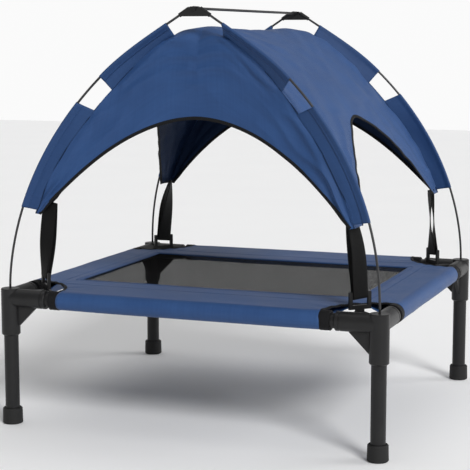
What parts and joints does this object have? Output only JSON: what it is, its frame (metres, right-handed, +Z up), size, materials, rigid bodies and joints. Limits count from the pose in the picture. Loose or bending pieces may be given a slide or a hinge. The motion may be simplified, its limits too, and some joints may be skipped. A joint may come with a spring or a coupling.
{
  "type": "elevated canopy dog bed",
  "caption": "Low raised pet cot with a tube frame, fabric mat with a mesh middle, and a domed fabric canopy held on flexible pole arches over it.",
  "frame": {"origin": "on the floor, under the middle of the bed", "axes": "+Z up, +Y from the front arch to the back arch, +X to the right of someone facing the front"},
  "size_m": [0.611, 0.561, 0.6325],
  "materials": {
    "frame_tube": "satin black powder coat",
    "foot_rubber": "matt black rubber",
    "connector_plastic": "fine moulded texture, semi-matt",
    "mat_fabric": "tight woven coated polyester, navy blue",
    "mesh_fabric": "open woven mesh, black",
    "binding_tape": "woven binding tape, black",
    "pole_fibreglass": "smooth black pultruded rod",
    "pole_tip_metal": "black coated metal ferrule",
    "hub_plastic": "fine moulded texture, semi-matt",
    "ridge_bar_metal": "satin black",
    "canopy_fabric": "thin coated polyester, navy blue, slight sheen",
    "strap_webbing": "ribbed polypropylene webbing, black",
    "hook_plastic": "moulded, semi-matt"
  },
  "bodies": {
    "bed": {"leg_tube_fl": "frame_tube", "leg_tube_fr": "frame_tube", "leg_tube_bl": "frame_tube", "leg_tube_br": "frame_tube", "long_rail_front": "frame_tube", "long_rail_back": "frame_tube", "short_rail_left": "frame_tube", "short_rail_right": "frame_tube", "foot_cap_fl": "foot_rubber", "foot_cap_fr": "foot_rubber", "foot_cap_bl": "foot_rubber", "foot_cap_br": "foot_rubber", "corner_connector_fl": "connector_plastic", "corner_connector_fr": "connector_plastic", "corner_connector_bl": "connector_plastic", "corner_connector_br": "connector_plastic", "mat_border": "mat_fabric", "mesh_panel": "mesh_fabric", "corner_binding_fl": "binding_tape", "corner_binding_fr": "binding_tape", "corner_binding_bl": "binding_tape", "corner_binding_br": "binding_tape"},
    "canopy": {"arch_binding_front": "binding_tape", "arch_binding_back": "binding_tape", "arch_binding_left": "binding_tape", "arch_binding_right": "binding_tape", "pole_fl": "pole_fibreglass", "pole_fr": "pole_fibreglass", "pole_bl": "pole_fibreglass", "pole_br": "pole_fibreglass", "pole_tip_fl": "pole_tip_metal", "pole_tip_fr": "pole_tip_metal", "pole_tip_bl": "pole_tip_metal", "pole_tip_br": "pole_tip_metal", "apex_hub_front": "hub_plastic", "apex_hub_back": "hub_plastic", "ridge_bar": "ridge_bar_metal", "canopy_cover": "canopy_fabric", "upper_fin_fl": "canopy_fabric", "upper_fin_fr": "canopy_fabric", "upper_fin_bl": "canopy_fabric", "upper_fin_br": "canopy_fabric", "lower_fin_fl": "canopy_fabric", "lower_fin_fr": "canopy_fabric", "lower_fin_bl": "canopy_fabric", "lower_fin_br": "canopy_fabric", "strap_fl": "strap_webbing", "strap_fr": "strap_webbing", "strap_bl": "strap_webbing", "strap_br": "strap_webbing", "strap_hook_fl": "hook_plastic", "strap_hook_fr": "hook_plastic", "strap_hook_bl": "hook_plastic", "strap_hook_br": "hook_plastic"}
  },
  "joints": [
    {"name": "canopy_lift", "type": "slide", "parent": "bed", "child": "canopy", "axis": [0, 0, 1], "range_m": [0, 0.08]}
  ]
}
